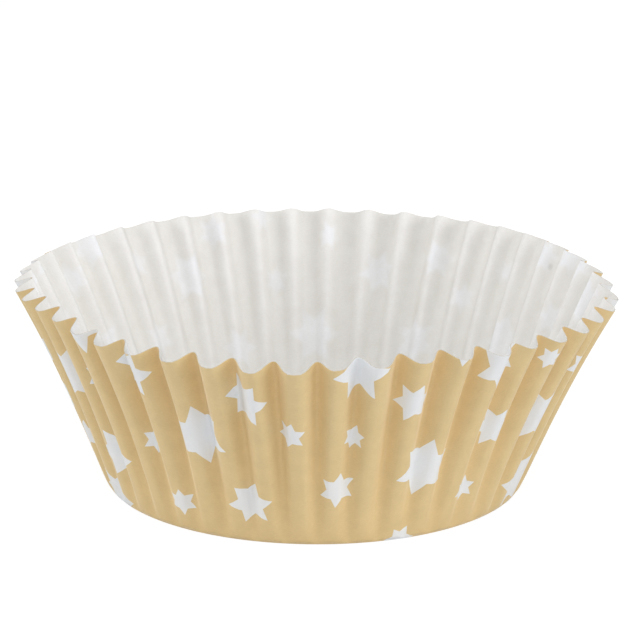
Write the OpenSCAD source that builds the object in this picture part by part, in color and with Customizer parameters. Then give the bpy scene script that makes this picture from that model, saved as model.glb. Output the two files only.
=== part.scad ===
// Fluted paper cupcake liner: one round sheet, its middle flat and its outer
// band pressed into flutes that stand up from a fold and flare to the rim.

/* [Base] */
// Diameter of the flat base, across the fold
base_d = 50; // [40:1:60]
// Radius of the fold between base and wall, on its outside
fold_r = 0.4; // [0.3:0.1:1]

/* [Wall] */
// Width of the wall along the paper, from the fold to the rim
wall_slant = 26; // [15:1:35]
// Lean of the wall from upright where it leaves the fold, in degrees
lean_base = 15; // [5:1:20]
// Lean of the wall from upright at the rim, in degrees
lean_rim = 26; // [22:1:35]

/* [Flutes] */
// Number of flutes round the wall
flutes = 45; // [30:1:50]
// Depth of the flutes at the rim, from crease to lobe
flute_depth = 2; // [1:0.1:2.4]
// Power of the depth's growth up the wall: lower makes the flutes deepen sooner
flute_growth = 0.6; // [0.5:0.05:1]
// Fullness of the lobes: higher makes broader lobes and tighter creases
lobe_fullness = 1.7; // [1.2:0.1:2.2]

/* [Paper] */
// Thickness of the paper
paper = 0.1; // [0.08:0.01:0.2]

/* [Hidden] */
degree = PI / 180;

// Facets across one flute, and the heights of their rows as shares of the wall
flute_cols = 7;
wall_rows = [0, 0.14, 0.36, 0.66, 1];
// Facets round the bend of the fold
fold_rows = 2;
// Width of flat paper that the fluted band shares with the round base
lap = 1;
// Step along the paper that is used to find which way its surface faces
probe = 0.001;

// The paper's own measure: the distance along it from the middle of the base
fold_turn = 90 - lean_base;
flat_end = base_d / 2 - fold_r * tan(fold_turn / 2);
fold_end = flat_end + fold_r * fold_turn * degree;
rim_end = fold_end + wall_slant;
// Radius of the gentle outward curve that the wall follows up to the rim
flare_r = wall_slant / ((lean_rim - lean_base) * degree);
fold_top_r = flat_end + fold_r * sin(fold_turn);
fold_top_z = fold_r * (1 - cos(fold_turn));

// Lean from upright at a distance s along the paper: 90 on the flat base
function lean(s) =
    s <= flat_end ? 90 :
    s < fold_end ? 90 - (s - flat_end) / fold_r / degree :
    lean_base + (lean_rim - lean_base) * (s - fold_end) / wall_slant;

// Radius and height of the unfluted sheet at a distance s along the paper
function profile(s) =
    s <= flat_end ? [s, 0] :
    s < fold_end ?
        [flat_end + fold_r * cos(lean(s)), fold_r * (1 - sin(lean(s)))] :
    [fold_top_r + flare_r * (cos(lean_base) - cos(lean(s))),
     fold_top_z + flare_r * (sin(lean(s)) - sin(lean_base))];

// Depth of the flutes at a distance s along the paper
function depth(s) =
    s <= fold_end ? 0 :
    flute_depth * pow((s - fold_end) / wall_slant, flute_growth);

// Share of the depth at an angle round the cup: 0 in a crease, 1 on a lobe
function lobe(angle) = 1 - pow((1 + cos(flutes * angle)) / 2, lobe_fullness);

// Point of the paper's outer face, the lobes standing square off the profile
function outer(s, angle) =
    let (rise = depth(s) * lobe(angle), at = profile(s))
    let (r = at[0] + rise * cos(lean(s)))
    [r * cos(angle), r * sin(angle), at[1] - rise * sin(lean(s))];

// Direction from the outer face straight through the paper to the inner one
function inward(s, angle) =
    let (round = outer(s, angle + probe / degree / base_d) - outer(s, angle))
    let (up = outer(s, angle) - outer(s - probe, angle))
    let (n = cross(up, round))
    n / norm(n);

function inner(s, angle) = outer(s, angle) + paper * inward(s, angle);

// Rows of the fluted band: its flat lap, the bend of the fold, then the wall
rows = concat(
    [flat_end - lap],
    [for (i = [0:fold_rows - 1]) flat_end + (fold_end - flat_end) * i / fold_rows],
    [for (share = wall_rows) fold_end + wall_slant * share]
);
cols = flutes * flute_cols;

// The pressed band: an outer and an inner skin, closed at the lap and the rim
module fluted_band() {
    n = len(rows);
    angles = [for (i = [0:cols - 1]) 360 * i / cols];
    skin_out = [for (s = rows) for (a = angles) outer(s, a)];
    skin_in = [for (s = rows) for (a = angles) inner(s, a)];
    function at(row, col, inside) = ((inside ? n : 0) + row) * cols + col % cols;
    function quad(a, b, c, d) = [[a, b, c], [a, c, d]];
    polyhedron(
        points = concat(skin_out, skin_in),
        faces = [
            for (i = [0:cols - 1])
            for (face = concat(
                [for (j = [0:n - 2]) for (f = quad(
                    at(j, i, false), at(j + 1, i, false),
                    at(j + 1, i + 1, false), at(j, i + 1, false))) f],
                [for (j = [0:n - 2]) for (f = quad(
                    at(j, i, true), at(j, i + 1, true),
                    at(j + 1, i + 1, true), at(j + 1, i, true))) f],
                quad(at(0, i, false), at(0, i + 1, false),
                    at(0, i + 1, true), at(0, i, true)),
                quad(at(n - 1, i, false), at(n - 1, i, true),
                    at(n - 1, i + 1, true), at(n - 1, i + 1, false))
            )) face
        ]
    );
}

// The whole liner is one sheet of paper, its flat base running on into the band
module liner() {
    color("#CFAF80")
    union() {
        cylinder(r = flat_end - lap / 2, h = paper, $fn = 180);
        fluted_band();
    }
}

liner();
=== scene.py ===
import math
import random

import bmesh
import bpy
import numpy as np
from mathutils import Matrix, Vector


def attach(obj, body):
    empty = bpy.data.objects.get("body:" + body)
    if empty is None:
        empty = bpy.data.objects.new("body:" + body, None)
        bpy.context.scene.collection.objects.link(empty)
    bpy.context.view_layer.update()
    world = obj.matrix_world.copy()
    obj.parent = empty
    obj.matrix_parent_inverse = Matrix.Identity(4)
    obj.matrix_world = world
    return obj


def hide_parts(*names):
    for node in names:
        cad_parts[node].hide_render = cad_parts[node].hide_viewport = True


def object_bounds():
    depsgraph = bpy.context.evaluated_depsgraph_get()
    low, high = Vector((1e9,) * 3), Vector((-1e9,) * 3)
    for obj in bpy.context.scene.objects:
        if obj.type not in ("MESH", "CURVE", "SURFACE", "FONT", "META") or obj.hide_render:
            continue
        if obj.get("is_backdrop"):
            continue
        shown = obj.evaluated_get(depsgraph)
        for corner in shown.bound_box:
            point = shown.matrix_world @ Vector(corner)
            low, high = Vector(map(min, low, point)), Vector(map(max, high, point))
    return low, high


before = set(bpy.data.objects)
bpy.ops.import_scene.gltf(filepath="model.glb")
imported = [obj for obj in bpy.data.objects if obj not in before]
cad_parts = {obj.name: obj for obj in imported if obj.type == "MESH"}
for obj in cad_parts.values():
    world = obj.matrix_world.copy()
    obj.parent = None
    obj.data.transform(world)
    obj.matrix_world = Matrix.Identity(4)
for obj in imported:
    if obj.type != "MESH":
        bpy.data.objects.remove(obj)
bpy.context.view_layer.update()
mm = 0.001


# The liner is one round sheet of white greaseproof paper, 102 mm across when
# flat, printed tan on its underside with six-pointed stars left bare. A heated
# die folds its rim up all round and presses the wall into 45 flutes.

# The blank and the form it is pressed to, as the CAD solid has them. A wall's
# slant is measured up the paper, and its lean is from upright.
base_r = 25 * mm
fold_r = 0.4 * mm
wall_slant = 26 * mm
lean_base = math.radians(15)
lean_rim = math.radians(26)
paper = 0.1 * mm
fold_turn = math.pi / 2 - lean_base
flat_end = base_r - fold_r * math.tan(fold_turn / 2)
fold_end = flat_end + fold_r * fold_turn
rim_end = fold_end + wall_slant
flare_r = wall_slant / (lean_rim - lean_base)
wall_rise = flare_r * (math.sin(lean_rim) - math.sin(lean_base))

# The flutes. Each runs from one crease to the next; crease 0 stands at the
# left of the camera and they count anticlockwise seen from above. Their depth
# grows from nothing at the fold, fast at first. A higher fullness gives a
# broader back and sharper creases, and the painted shade and highlight along
# the creases are sharper still.
flutes = 45
flute_step = 2 * math.pi / flutes
first_crease = math.radians(-170)
flute_depth = 2 * mm
flute_growth = 0.6
lobe_fullness = 1.7
crease_fullness = 3

# Paper springs back unevenly from the die. The rim bows in and out of round,
# by this much in so many waves whose first crest is at this bearing.
rim_bows = (
    (1, 0.64 * mm, math.radians(119)),
    (2, 0.82 * mm, math.radians(-61)),
    (3, 0.21 * mm, math.radians(-12)),
    (4, 0.55 * mm, math.radians(-20)),
)
# The creases crowd together and spread in the same way, in degrees.
crease_drifts = (
    (1, math.radians(0.80), math.radians(167)),
    (2, math.radians(0.87), math.radians(-94)),
    (3, math.radians(0.19), math.radians(-161)),
)
# No two flutes are alike. The creases in view stand off their even places by
# this many degrees along the rim, and lean out by this many millimetres. Some
# flutes are this many millimetres deep, or less full. All others vary a little
# at random.
creases_in_view = (
    (-0.1, 0.2), (-0.3, -0.1), (-0.1, -0.1), (0.0, 0.0), (0.4, 0.3), (0.2, 0.2), (0.2, -0.1),
    (0.0, -0.4), (-0.1, -0.2), (-0.2, 0.0), (-0.1, 0.1), (-0.3, -0.35), (0.0, -0.4), (0.4, -0.3),
    (0.4, -0.1), (0.4, 0.4), (-0.1, 0.0), (0.0, -0.1), (-0.2, -0.1), (-0.1, -0.2), (-0.1, 0.3),
)  # fmt: skip
odd_depths = {
    0: 2.2, 1: 2.15, 4: 2.1, 5: 2.1, 6: 2.15, 7: 2.15, 8: 2.2, 9: 2.15, 10: 1.8, 11: 2.15,
    12: 2.05, 13: 2.1, 14: 2.0, 15: 1.7, 16: 2.1, 17: 2.1, 19: 2.0, 20: 2.05, 21: 2.05, 22: 1.9,
    23: 1.7, 24: 1.55, 25: 1.6, 26: 1.7, 27: 1.7, 28: 1.8, 31: 1.8, 32: 1.7, 33: 1.6, 34: 1.55,
    35: 1.5, 36: 1.5, 37: 1.6, 38: 1.8, 40: 2.2, 41: 1.8, 42: 1.9, 43: 2.2, 44: 2.25,
}  # fmt: skip
odd_fullness = {5: 1.5, 8: 1.5, 12: 1.5, 13: 1.5, 15: 1.3}
depth_range = (0.97, 1.05)
fullness_range = (0.9, 1.1)
shift_range = (-0.2, 0.2)
tilt_range = (-0.12, 0.12)
rng = random.Random(45)
flute_depths = [flute_depth * rng.uniform(*depth_range) for _ in range(flutes)]
flute_fullness = [lobe_fullness * rng.uniform(*fullness_range) for _ in range(flutes)]
crease_shifts = [math.radians(rng.uniform(*shift_range)) for _ in range(flutes)]
crease_tilts = [rng.uniform(*tilt_range) * mm for _ in range(flutes)]
for k, depth in odd_depths.items():
    flute_depths[k] = depth * mm
for k, fullness in odd_fullness.items():
    flute_fullness[k] = fullness
for k, (shift, tilt) in enumerate(creases_in_view):
    crease_shifts[k], crease_tilts[k] = math.radians(shift), tilt * mm


def waves(bearing, terms):
    """Waves round the rim, added up: how many, how high, and where one crests."""
    return sum(size * np.cos(count * (bearing - crest)) for count, size, crest in terms)


def lobe(across, fullness):
    """How far out a flute stands, 0 at its two creases and 1 on its back."""
    return 1 - ((1 + np.cos(2 * math.pi * across)) / 2) ** fullness


def in_crease(distance, bearing):
    """1 in a crease at the rim, less lower down, 0 on a flute's back."""
    share = np.mod((bearing - first_crease) / flute_step, 1)
    climb = np.clip((distance - fold_end) / wall_slant, 0, 1)
    return (1 - lobe(share, crease_fullness)) * climb**flute_growth


# A flute's paper is longer than the flute is wide. How the one lies over the
# other is worked out in short runs for flutes of a few slopes, and in between
# it is blended.
flute_runs = 120
slope_steps = 14
steepest = 0.7


def across_flute(share, slope, fullness):
    """Turns a share of a flute's paper, from crease to crease, into a share of
    its width. slope is the flute's depth over its width."""
    across = np.linspace(0, 1, flute_runs + 1)
    slopes = np.linspace(0, steepest, slope_steps + 1)
    found = []
    for each in slopes:
        run = np.hypot(np.diff(across), each * np.diff(lobe(across, fullness)))
        laid = np.concatenate([[0], np.cumsum(run)])
        found.append(np.interp(share, laid / laid[-1], across))
    found = np.array(found)
    place = np.clip(slope / slopes[1], 0, slope_steps - 0.001)
    row = place.astype(int)
    column = np.arange(len(share))
    return found[row, column] * (row + 1 - place) + found[row + 1, column] * (place - row)


def press(distance, bearing):
    """Where points of the flat sheet's underside stand in the pressed liner."""
    climb = np.clip((distance - fold_end) / wall_slant, 0, None)
    in_fold = np.clip((distance - flat_end) / fold_r, 0, fold_turn)
    lean = math.pi / 2 - in_fold + (lean_rim - lean_base) * climb
    in_base = np.minimum(distance, flat_end)
    radius = in_base + fold_r * np.sin(in_fold)
    height = fold_r * (1 - np.cos(in_fold))
    on_wall = climb > 0
    radius = radius + on_wall * flare_r * (math.cos(lean_base) - np.cos(lean))
    height = height + on_wall * flare_r * (np.sin(lean) - math.sin(lean_base))

    turns = np.mod((bearing - first_crease) / flute_step, flutes)
    flute = np.minimum(turns.astype(int), flutes - 1)
    share = turns - flute
    depth = np.array(flute_depths)[flute] * climb**flute_growth
    fullness = np.array(flute_fullness)[flute]
    # The base has no flutes, so near its middle any width will do but none.
    slope = depth / (flute_step * np.maximum(radius, base_r / 2))
    across = np.zeros_like(share)
    for k in range(flutes):
        mine = flute == k
        across[mine] = across_flute(share[mine], slope[mine], flute_fullness[k])
    rise = depth * lobe(across, fullness)
    radius = radius + rise * np.cos(lean)
    height = height - rise * np.sin(lean)

    after = (flute + 1) % flutes
    blend = (1 - np.cos(math.pi * across)) / 2
    shifts, tilts = np.array(crease_shifts), np.array(crease_tilts)
    even = first_crease + flute_step * (flute + across)
    azimuth = even + waves(even, crease_drifts)
    azimuth += climb * (shifts[flute] * (1 - blend) + shifts[after] * blend)
    bow = waves(azimuth, rim_bows) + tilts[flute] * (1 - blend) + tilts[after] * blend
    turn = bow / wall_rise * in_fold / fold_turn
    out, up = radius - base_r, height - fold_r
    radius = base_r + out * np.cos(turn) + up * np.sin(turn)
    height = fold_r + up * np.cos(turn) - out * np.sin(turn)
    return np.stack([radius * np.cos(azimuth), radius * np.sin(azimuth), height], -1)


# Where the print leaves stars bare: distance from the sheet's middle, bearing,
# reach of the points, and the way that one of them points, in millimetres and
# degrees. These are the ones in view, on the outside or through the paper.
stars = (
    (25.8, -155.7, 3.8, 58),
    (32.8, -146.5, 3.6, 4),
    (32.8, -165.6, 2.0, 30),
    (42.5, -157.0, 4.1, 50),
    (43.1, -171.5, 3.0, 10),
    (43.2, -145.5, 2.2, 40),
    (52.6, -141.2, 4.1, 34),
    (48.3, -128.0, 3.6, 26),
    (37.0, -129.7, 1.9, 0),
    (29.3, -125.3, 1.9, 55),
    (39.9, -115.8, 4.4, 58),
    (30.7, -106.0, 3.0, 33),
    (46.1, -104.0, 3.4, 50),
    (41.5, -95.3, 2.0, 36),
    (33.0, -85.0, 2.5, 41),
    (40.0, -81.8, 1.7, 52),
    (50.2, -81.7, 4.5, 3),
    (45.2, -70.4, 2.8, 7),
    (25.0, -67.3, 1.9, 21),
    (35.1, -64.3, 4.2, 5),
    (30.7, -50.3, 1.75, 14),
    (49.5, -52.8, 3.8, 3),
    (39.4, -47.5, 2.9, 36),
    (48.8, -39.0, 1.6, 34),
    (45.0, -21.5, 2.2, 44),
    (39.0, -30.9, 3.9, 54),
    (28.7, -24.7, 4.1, 4),
    (51.2, 163.7, 3.3, 44),
    (51.2, 171.5, 3.4, 52),
    (51.2, 179.3, 3.4, 59),
    (51.2, -7.8, 1.9, 52),
    (51.2, 0.2, 2.8, 0),
    (51.0, 14.2, 2.2, 20),
    (50.3, 100.2, 1.9, 10),
    (48.8, 111.6, 2.4, 40),
    (43.4, 119.3, 3.4, 25),
    (46.4, 131.0, 1.9, 50),
    (50.0, 143.0, 2.9, 5),
    (46.8, 152.2, 2.2, 30),
    (41.8, 98.0, 1.9, 30),
    (33.4, 109.0, 2.6, 15),
    (34.7, 89.0, 3.7, 0),
    (47.7, 85.8, 1.8, 45),
    (43.3, 74.7, 2.9, 0),
    (45.8, 60.7, 2.5, 35),
    (34.9, 63.0, 3.2, 10),
    (41.3, 52.1, 1.9, 55),
    (45.8, 42.5, 1.5, 20),
    (49.5, 29.5, 2.3, 5),
    (50.7, 20.4, 2.2, 35),
    (47.6, 5.5, 3.0, 15),
    (42.8, 19.8, 2.0, 50),
    (37.6, 36.9, 3.4, 25),
)
# The rest of the print, on the wall's back and sides and under the base, is
# scattered in the same way.
stars += (
    (38.3, 3.5, 4.2, 30),
    (30.6, 13.0, 2.6, 48),
    (36.5, 22.0, 1.9, 12),
    (29.0, 32.0, 1.8, 33),
    (40.4, -10.5, 1.9, 5),
    (33.6, -9.0, 2.2, 20),
    (28.5, 48.5, 3.2, 40),
    (27.6, 76.5, 3.6, 22),
    (28.0, 98.0, 2.2, 8),
    (29.5, 126.0, 4.0, 52),
    (36.3, 131.5, 2.4, 15),
    (37.6, 147.5, 3.0, 36),
    (31.6, 145.0, 2.0, 3),
    (43.0, 162.0, 1.8, 41),
    (29.0, 163.5, 3.4, 9),
    (36.5, 171.5, 3.2, 31),
    (41.9, -178.0, 1.5, 47),
    (30.4, -179.5, 1.9, 18),
    (36.8, -173.0, 1.8, 2),
    (2.5, 60.0, 3.8, 10),
    (9.6, 125.0, 1.9, 25),
    (10.4, -163.0, 4.2, 40),
    (9.0, -72.0, 2.4, 5),
    (11.2, 12.0, 3.2, 50),
    (16.8, 62.0, 4.0, 12),
    (15.4, -33.0, 1.9, 33),
    (20.6, 30.0, 2.4, 0),
    (17.4, 150.0, 3.2, 50),
    (18.8, -179.0, 2.0, 20),
    (17.0, -114.0, 3.6, 14),
    (20.8, -48.0, 3.4, 45),
    (20.4, 98.0, 2.8, 30),
    (18.6, -84.0, 1.9, 50),
    (20.4, -3.0, 3.0, 20),
    (22.4, 128.0, 1.8, 18),
)
# A star's sides lie this far from its middle, as a share of its reach.
star_notch = 1 / 2
# A nick in the rim, where the ink came away in a small triangle.
nick = (50.98, -62.4, 0.72, -62.4)


# The flat blank is laid out crease by crease, finely where the paper will bend
# and coarsely on the base, which stays flat. The wall's rings lie closer
# together towards the fold, where the flutes begin.
share_steps = (
    0, 0.03, 0.06, 0.1, 0.15, 0.22, 0.31, 0.4, 0.5, 0.6, 0.69, 0.78, 0.85, 0.9, 0.94, 0.97,
)  # fmt: skip
fold_cuts = 4
wall_cuts = 26
wall_crowding = 1.5
base_rings = [x * mm for x in (3.5, 7, 10.5, 14, 17.5, 21, 23.6)]
fold_rings = [flat_end + fold_r * fold_turn * x / fold_cuts for x in range(fold_cuts + 1)]
wall_rings = [
    fold_end + wall_slant * (x / wall_cuts) ** wall_crowding for x in range(1, wall_cuts + 1)
]
blank = bmesh.new()


def flat_place(distance, bearing):
    return Vector((distance * math.cos(bearing), distance * math.sin(bearing), 0))


def lay_ring(distance, shares):
    made = []
    for k in range(flutes):
        for share in shares:
            bearing = first_crease + flute_step * (k + share)
            made.append(blank.verts.new(flat_place(distance, bearing)))
    return made


middle = blank.verts.new((0, 0, 0))
rings = [lay_ring(d, (0,)) for d in base_rings]
for k in range(flutes):
    blank.faces.new((middle, rings[0][k], rings[0][(k + 1) % flutes]))
for low, high in zip(rings, rings[1:]):
    for k in range(flutes):
        after = (k + 1) % flutes
        blank.faces.new((low[k], high[k], high[after], low[after]))
steps = len(share_steps)
columns = flutes * steps
inner_ring = rings[-1]
rings = [lay_ring(d, share_steps) for d in fold_rings + wall_rings]
for k in range(flutes):
    arc = [rings[0][(k * steps + x) % columns] for x in range(steps + 1)]
    blank.faces.new([inner_ring[k], *arc, inner_ring[(k + 1) % flutes]])
for low, high in zip(rings, rings[1:]):
    for k in range(columns):
        after = (k + 1) % columns
        blank.faces.new((low[k], high[k], high[after], low[after]))


# Every star is two crossed triangles. The blank is cut along their six sides,
# and along the nick's three, but only where the star is near.
star_points = 6
cut_margin = 2 * mm
cut_snap = 0.002 * mm


def star_sides(turn):
    ways = [math.radians(turn + x * 360 / star_points) for x in range(star_points)]
    return [flat_place(1, way) for way in ways]


def star_middle(distance, bearing):
    return flat_place(distance * mm, math.radians(bearing))


for shape in (*stars, nick):
    distance, bearing, reach, turn = shape
    at, side_in = star_middle(distance, bearing), reach * mm * star_notch
    cut_reach = reach * mm + cut_margin
    near = [f for f in blank.faces if (f.calc_center_median() - at).length < cut_reach]
    for side in star_sides(turn)[:: 2 if shape is nick else 1]:
        parts = {v for f in near for v in f.verts} | {e for f in near for e in f.edges}
        cut = bmesh.ops.bisect_plane(
            blank, geom=[*parts, *near], dist=cut_snap, plane_co=at + side * side_in, plane_no=side
        )
        near = [g for g in cut["geom"] if isinstance(g, bmesh.types.BMFace)]
bmesh.ops.triangulate(blank, faces=[f for f in blank.faces if len(f.verts) > 4])
blank.verts.index_update()
flat = np.array([v.co[:2] for v in blank.verts])
corners = [[v.index for v in f.verts] for f in blank.faces]
centres = np.array([flat[c].mean(0) for c in corners])
rim = [v.index for v in blank.verts if v.is_boundary]
rim.sort(key=lambda x: math.atan2(flat[x][1], flat[x][0]))
blank.free()


def inside_star(points, shape):
    """How far points lie inside a star's outline; less than 0 is outside it."""
    distance, bearing, reach, turn = shape
    away = points - np.array(star_middle(distance, bearing)[:2])
    sides = np.array([s[:2] for s in star_sides(turn)])
    within = reach * mm * star_notch - away @ sides.T
    one, other = within[:, 0::2].min(1), within[:, 1::2].min(1)
    return one if shape is nick else np.maximum(one, other)


bare = np.max([inside_star(centres, shape) for shape in (*stars, nick)], axis=0) > 0
star_depth = np.max([inside_star(flat, shape) for shape in stars], axis=0)

# The pressed sheet: its printed side, its inner side a paper's thickness in,
# and the cut edge between them along the rim. The way it faces comes from how
# points a hair apart on the blank lie after pressing.
distances = np.hypot(*flat.T)
bearings = np.arctan2(flat[:, 1], flat[:, 0])
outside = press(distances, bearings)
hair = 0.004 * mm
along = press(distances + hair, bearings) - press(np.maximum(distances - hair, 0), bearings)
turned = hair / np.maximum(distances, mm)
around = press(distances, bearings + turned) - press(distances, bearings - turned)
facing = np.cross(around, along)
facing[distances < flat_end - hair] = (0, 0, -1)
facing /= np.linalg.norm(facing, axis=1)[:, None]
along[distances < mm] = (1, 0, 0)
along /= np.linalg.norm(along, axis=1)[:, None]
inside = outside - facing * paper
count = len(flat)
faces = [c[::-1] for c in corners]
faces += [[x + count for x in c] for c in corners]
faces += [[a, b, b + count, a + count] for a, b in zip(rim, rim[1:] + rim[:1])]
sheet = bpy.data.meshes.new("liner_sheet")
sheet.from_pydata(np.concatenate([outside, inside]).tolist(), [], faces)
printed_face, bare_face, inner_face, edge_face = range(4)
kinds = [bare_face if b else printed_face for b in bare]
kinds += [inner_face] * len(bare) + [edge_face] * len(rim)
sheet.polygons.foreach_set("material_index", kinds)
sheet.polygons.foreach_set("use_smooth", [True] * len(faces))
corner_vertex = np.array([x for f in faces for x in f])
corner_kind = np.repeat(kinds, [len(f) for f in faces])
normals = np.concatenate([facing, -facing])[corner_vertex]
on_edge = corner_kind == edge_face
normals[on_edge] = np.concatenate([along, along])[corner_vertex[on_edge]]

# The sheet's own flat coordinates carry its grain, and the gap between its two
# sides there gives each a grain of its own. The print shows through to the
# inner side by how deep a place lies in a star.
side_gap = 0.2
places = sheet.attributes.new("sheet_place", "FLOAT_VECTOR", "POINT")
spread = np.zeros((2 * count, 3))
spread[:count, :2] = flat
spread[count:, :2] = flat
spread[count:, 2] = side_gap
places.data.foreach_set("vector", spread.ravel())
depths = sheet.attributes.new("star_depth", "FLOAT", "POINT")
depths.data.foreach_set("value", np.concatenate([star_depth, star_depth]))
creased = sheet.attributes.new("in_crease", "FLOAT", "POINT")
creased.data.foreach_set("value", np.tile(in_crease(distances, bearings), 2))

# The sheet's map shows its two sides laid out flat in opposite corners, with
# the cut edge as a narrow band round the printed side.
map_corner = 0.293
map_scale = 0.285 / rim_end
edge_band = 1.02
printed_map = map_corner + flat * map_scale
inner_map = 1 - map_corner + flat * map_scale * (-1, 1)
layout = np.concatenate([printed_map, inner_map])[corner_vertex]
edge_outer = on_edge & (corner_vertex >= count)
band = flat[corner_vertex[edge_outer] - count] * map_scale * edge_band
layout[edge_outer] = map_corner + band
sheet.uv_layers.new(name="OFBake").data.foreach_set("uv", layout.ravel())
sheet.normals_split_custom_set(normals.tolist())
sheet.validate()
liner = bpy.data.objects.new("liner_sheet", sheet)
bpy.context.scene.collection.objects.link(liner)


# Greaseproof paper has a fine cloudy grain, as the pulp settled, and fibres
# that lie along the run of the paper machine, at a slant across this sheet.
cloud_scale = 380
fibre_scale = 2200
fibre_slant = math.radians(35)
fibre_stretch = 3.2
fibre_share = 0.45
deep_tone, pale_tone = 0.36, 0.64
roughness_swing = 0.08
fibre_height = 0.03 * mm
paper_specular = 0.3


def paper_finish(name, pale, deep, roughness, relief):
    """A paper surface in two tones, with its grain in colour and relief."""
    made = bpy.data.materials.new(name)
    made.use_nodes = True
    nodes, links = made.node_tree.nodes, made.node_tree.links
    shader = nodes["Principled BSDF"]
    shader.inputs["Specular IOR Level"].default_value = paper_specular

    place = nodes.new("ShaderNodeAttribute")
    place.attribute_name = "sheet_place"
    cloud = nodes.new("ShaderNodeTexNoise")
    cloud.inputs["Scale"].default_value = cloud_scale
    cloud.inputs["Detail"].default_value = 5
    cloud.inputs["Roughness"].default_value = 0.65
    links.new(place.outputs["Vector"], cloud.inputs["Vector"])

    grain_run = nodes.new("ShaderNodeMapping")
    grain_run.inputs["Rotation"].default_value = (0, 0, fibre_slant)
    grain_run.inputs["Scale"].default_value = (1, fibre_stretch, 1)
    links.new(place.outputs["Vector"], grain_run.inputs["Vector"])
    fibre = nodes.new("ShaderNodeTexNoise")
    fibre.inputs["Scale"].default_value = fibre_scale
    fibre.inputs["Detail"].default_value = 4
    fibre.inputs["Roughness"].default_value = 0.6
    links.new(grain_run.outputs["Vector"], fibre.inputs["Vector"])

    both = nodes.new("ShaderNodeMix")
    both.inputs["Factor"].default_value = fibre_share
    links.new(cloud.outputs["Fac"], both.inputs["A"])
    links.new(fibre.outputs["Fac"], both.inputs["B"])
    tones = nodes.new("ShaderNodeValToRGB")
    low_end, high_end = tones.color_ramp.elements
    low_end.position, low_end.color = deep_tone, (*deep, 1)
    high_end.position, high_end.color = pale_tone, (*pale, 1)
    links.new(both.outputs["Result"], tones.inputs["Fac"])
    links.new(tones.outputs["Color"], shader.inputs["Base Color"])

    dull = nodes.new("ShaderNodeMapRange")
    dull.inputs["To Min"].default_value = roughness - roughness_swing
    dull.inputs["To Max"].default_value = roughness + roughness_swing
    links.new(fibre.outputs["Fac"], dull.inputs["Value"])
    links.new(dull.outputs["Result"], shader.inputs["Roughness"])
    bump = nodes.new("ShaderNodeBump")
    bump.inputs["Strength"].default_value = relief
    bump.inputs["Distance"].default_value = fibre_height
    links.new(both.outputs["Result"], bump.inputs["Height"])
    links.new(bump.outputs["Normal"], shader.inputs["Normal"])
    return made


def tint(material, share, colour):
    """Multiplies a material's colour by another one, as far as share says."""
    nodes, links = material.node_tree.nodes, material.node_tree.links
    colour_socket = nodes["Principled BSDF"].inputs["Base Color"]
    mix = nodes.new("ShaderNodeMix")
    mix.data_type = "RGBA"
    mix.blend_type = "MULTIPLY"
    under, over = [socket for socket in mix.inputs if socket.type == "RGBA"]
    [tinted] = [socket for socket in mix.outputs if socket.type == "RGBA"]
    over.default_value = (*colour, 1)
    links.new(share, mix.inputs["Factor"])
    links.new(colour_socket.links[0].from_socket, under)
    links.new(tinted, colour_socket)


def read_attribute(material, name):
    node = material.node_tree.nodes.new("ShaderNodeAttribute")
    node.attribute_name = name
    return node.outputs


tan_ink = paper_finish(
    "tan_ink", pale=(0.745, 0.574, 0.306), deep=(0.67, 0.517, 0.271), roughness=0.6, relief=0.35
)
bare_paper = paper_finish(
    "bare_paper", pale=(0.815, 0.837, 0.862), deep=(0.78, 0.802, 0.832), roughness=0.55, relief=0.3
)
inner_paper = paper_finish(
    "inner_paper", pale=(0.825, 0.812, 0.78), deep=(0.76, 0.742, 0.708), roughness=0.6, relief=0.3
)
# The cut edge is painted greyer than either side of the paper: painted shade for the thin shadow
# line along the rim.
cut_edge = paper_finish(
    "cut_edge", pale=(0.68, 0.655, 0.6), deep=(0.6, 0.575, 0.52), roughness=0.7, relief=0.3
)

# The ink's dry film turns pale where it is seen edge-on. Its colour is painted
# warmer and darker in the creases: painted shade and bounce light between the
# flutes' walls. The inner side is painted whiter along its ridges: a painted
# highlight.
film_sheen = (1, 0.87, 0.66)
painted_crease_bounce = (1.03, 0.985, 0.94)
painted_ridge_highlight = (1.11, 1.115, 1.14)
ink = tan_ink.node_tree.nodes["Principled BSDF"].inputs
ink["Sheen Weight"].default_value = 1
ink["Sheen Roughness"].default_value = 0.3
ink["Sheen Tint"].default_value = (*film_sheen, 1)
# Painted shade and bounce light in the tan creases.
tint(tan_ink, read_attribute(tan_ink, "in_crease")["Fac"], painted_crease_bounce)
# Painted highlight along the inner side's ridges.
tint(inner_paper, read_attribute(inner_paper, "in_crease")["Fac"], painted_ridge_highlight)

# Seen from the inner side, a bare star is a paler, bluer patch, and the pulp
# spreads its edge over most of a millimetre.
show_through = 0.4 * mm
ghost_blue = (1.042, 1.067, 1.12)
nodes, links = inner_paper.node_tree.nodes, inner_paper.node_tree.links
ghost = nodes.new("ShaderNodeMapRange")
ghost.interpolation_type = "SMOOTHSTEP"
ghost.inputs["From Min"].default_value = -show_through
ghost.inputs["From Max"].default_value = show_through
links.new(read_attribute(inner_paper, "star_depth")["Fac"], ghost.inputs["Value"])
tint(inner_paper, ghost.outputs["Result"], ghost_blue)

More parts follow.
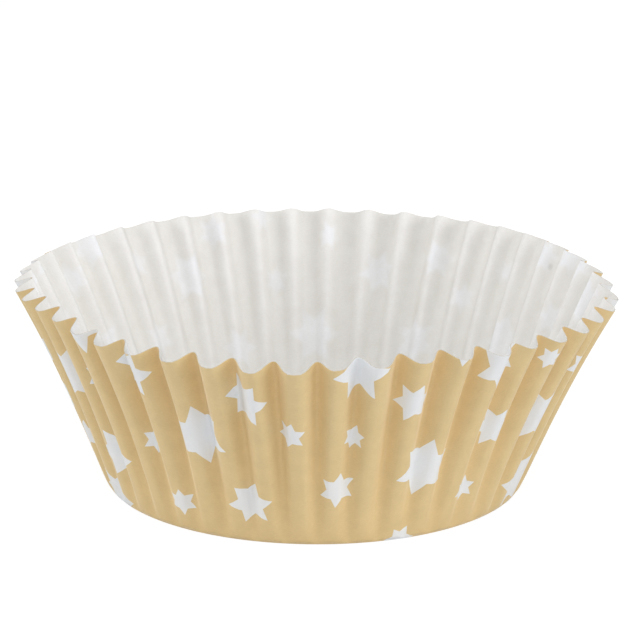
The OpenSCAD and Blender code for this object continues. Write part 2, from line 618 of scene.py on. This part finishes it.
# A small grey spot is painted inside the rim at the right, darkest in its middle.
grey_spot = (48.4 * mm, math.radians(27.8))
spot_r = 0.55 * mm
spot_middle_r = 0.15 * mm
spot_strength = 0.65
spot_grey = (0.78, 0.79, 0.79)
away = nodes.new("ShaderNodeVectorMath")
away.operation = "DISTANCE"
away.inputs[1].default_value = flat_place(*grey_spot) + Vector((0, 0, side_gap))
links.new(read_attribute(inner_paper, "sheet_place")["Vector"], away.inputs[0])
mark = nodes.new("ShaderNodeMapRange")
mark.interpolation_type = "SMOOTHSTEP"
mark.inputs["From Min"].default_value = spot_r
mark.inputs["From Max"].default_value = spot_middle_r
mark.inputs["To Max"].default_value = spot_strength
links.new(away.outputs["Value"], mark.inputs["Value"])
tint(inner_paper, mark.outputs["Result"], spot_grey)

for finish in (tan_ink, bare_paper, inner_paper, cut_edge):
    sheet.materials.append(finish)
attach(liner, "root")
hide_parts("liner")


# The floor is a wide plain white table top, a hair under the base. Light
# bounces off it as off chalk. The camera sees it greyer with a glow added, so
# it keeps the liner's soft shadow and is as white as the background behind it.
# It has a hole hidden by the base and can't be seen from below, so that the
# printed base can be looked at.
floor_r = 4.0
floor_drop = 0.05 * mm
floor_hole_r = 24.65 * mm
floor_steps = 96
floor_chalk = (0.9, 0.9, 0.9)
floor_pale = (0.2, 0.2, 0.2)
floor_glow = 0.9
table_top = bmesh.new()
hole, edge = (
    [
        table_top.verts.new(flat_place(r, 2 * math.pi * x / floor_steps))
        for x in range(floor_steps)
    ]
    for r in (floor_hole_r, floor_r)
)
for x in range(floor_steps):
    table_top.faces.new((hole[x - 1], edge[x - 1], edge[x], hole[x]))
floor_mesh = bpy.data.meshes.new("floor")
table_top.to_mesh(floor_mesh)
table_top.free()
floor = bpy.data.objects.new("floor", floor_mesh)
floor.location.z = -floor_drop
bpy.context.scene.collection.objects.link(floor)
floor_white = bpy.data.materials.new("floor_white")
floor_white.use_nodes = True
nodes, links = floor_white.node_tree.nodes, floor_white.node_tree.links
nodes.clear()
out = nodes.new("ShaderNodeOutputMaterial")
seen = nodes.new("ShaderNodeLightPath")
chalk = nodes.new("ShaderNodeBsdfDiffuse")
chalk.inputs["Color"].default_value = (*floor_chalk, 1)
pale = nodes.new("ShaderNodeBsdfDiffuse")
pale.inputs["Color"].default_value = (*floor_pale, 1)
glow = nodes.new("ShaderNodeEmission")
glow.inputs["Strength"].default_value = floor_glow
lit = nodes.new("ShaderNodeAddShader")
links.new(pale.outputs["BSDF"], lit.inputs[0])
links.new(glow.outputs["Emission"], lit.inputs[1])
choice = nodes.new("ShaderNodeMixShader")
links.new(seen.outputs["Is Camera Ray"], choice.inputs["Fac"])
links.new(chalk.outputs["BSDF"], choice.inputs[1])
links.new(lit.outputs["Shader"], choice.inputs[2])
face = nodes.new("ShaderNodeNewGeometry")
unseen = nodes.new("ShaderNodeBsdfTransparent")
sides = nodes.new("ShaderNodeMixShader")
links.new(face.outputs["Backfacing"], sides.inputs["Fac"])
links.new(choice.outputs["Shader"], sides.inputs[1])
links.new(unseen.outputs["BSDF"], sides.inputs[2])
links.new(sides.outputs["Shader"], out.inputs["Surface"])
floor_mesh.materials.append(floor_white)
floor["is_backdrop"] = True


# The light is a plain studio's: white all round, with a softbox low at either
# side, one above the camera and a wide one overhead. The camera sees the white
# all round as plain white paper.
ambient = 0.47
world = bpy.data.worlds.new("studio")
bpy.context.scene.world = world
world.use_nodes = True
nodes, links = world.node_tree.nodes, world.node_tree.links
nodes.clear()
out = nodes.new("ShaderNodeOutputWorld")
seen = nodes.new("ShaderNodeLightPath")
shown = seen.outputs["Is Camera Ray"]
for ray in ("Is Glossy Ray", "Is Transmission Ray"):
    either = nodes.new("ShaderNodeMath")
    either.operation = "MAXIMUM"
    links.new(shown, either.inputs[0])
    links.new(seen.outputs[ray], either.inputs[1])
    shown = either.outputs["Value"]
fill = nodes.new("ShaderNodeBackground")
fill.inputs["Strength"].default_value = ambient
fill.inputs["Color"].default_value = (1, 1, 1, 1)
white = nodes.new("ShaderNodeBackground")
white.inputs["Color"].default_value = (1, 1, 1, 1)
choice = nodes.new("ShaderNodeMixShader")
links.new(shown, choice.inputs["Fac"])
links.new(fill.outputs["Background"], choice.inputs[1])
links.new(white.outputs["Background"], choice.inputs[2])
links.new(choice.outputs["Shader"], out.inputs["Surface"])


def softbox(name, place, size, power):
    """A rectangular lamp that faces the liner, in metres and watts."""
    lamp = bpy.data.lights.new(name, "AREA")
    lamp.shape = "RECTANGLE"
    lamp.size, lamp.size_y = size
    lamp.energy = power
    made = bpy.data.objects.new(name, lamp)
    made.location = place
    made.rotation_euler = (-Vector(place)).to_track_quat("-Z", "Y").to_euler()
    bpy.context.scene.collection.objects.link(made)


softbox("softbox_right", place=(0.8, -0.4, 0.3), size=(0.5, 0.5), power=2.8)
softbox("softbox_left", place=(-0.9, -0.1, 0.3), size=(0.5, 0.5), power=2.45)
softbox("softbox_front", place=(0, -0.9, 0.6), size=(0.6, 0.4), power=1.1)
softbox("softbox_top", place=(0, -0.5, 0.9), size=(0.8, 0.6), power=2.8)


# The camera stands 40 cm from the base, 13 cm above it, and looks down by 16
# degrees with a long lens, so the liner sits a little low in the picture. The
# photograph is square, 634 pixels wide.
photo_width = 634
camera_distance = 0.4
camera_elevation = math.radians(19.019)
camera_pitch = math.radians(2.722)
camera_yaw = math.radians(0.032)
camera_roll = math.radians(0.331)
focal_pixels = 3292
sensor_width = 36
near_clip, far_clip = 0.01, 20
camera_data = bpy.data.cameras.new("camera")
camera_data.sensor_width = sensor_width
camera_data.lens = focal_pixels * sensor_width / photo_width
camera_data.clip_start, camera_data.clip_end = near_clip, far_clip
camera = bpy.data.objects.new("camera", camera_data)
look = math.pi / 2 - (camera_elevation - camera_pitch)
camera.matrix_world = (
    Matrix.Translation(
        camera_distance * Vector((0, -math.cos(camera_elevation), math.sin(camera_elevation)))
    )
    @ Matrix.Rotation(-camera_yaw, 4, "Z")
    @ Matrix.Rotation(look, 4, "X")
    @ Matrix.Rotation(camera_roll, 4, "Z")
)
bpy.context.scene.collection.objects.link(camera)
bpy.context.scene.camera = camera
bpy.context.scene.view_settings.view_transform = "Standard"

low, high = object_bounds()
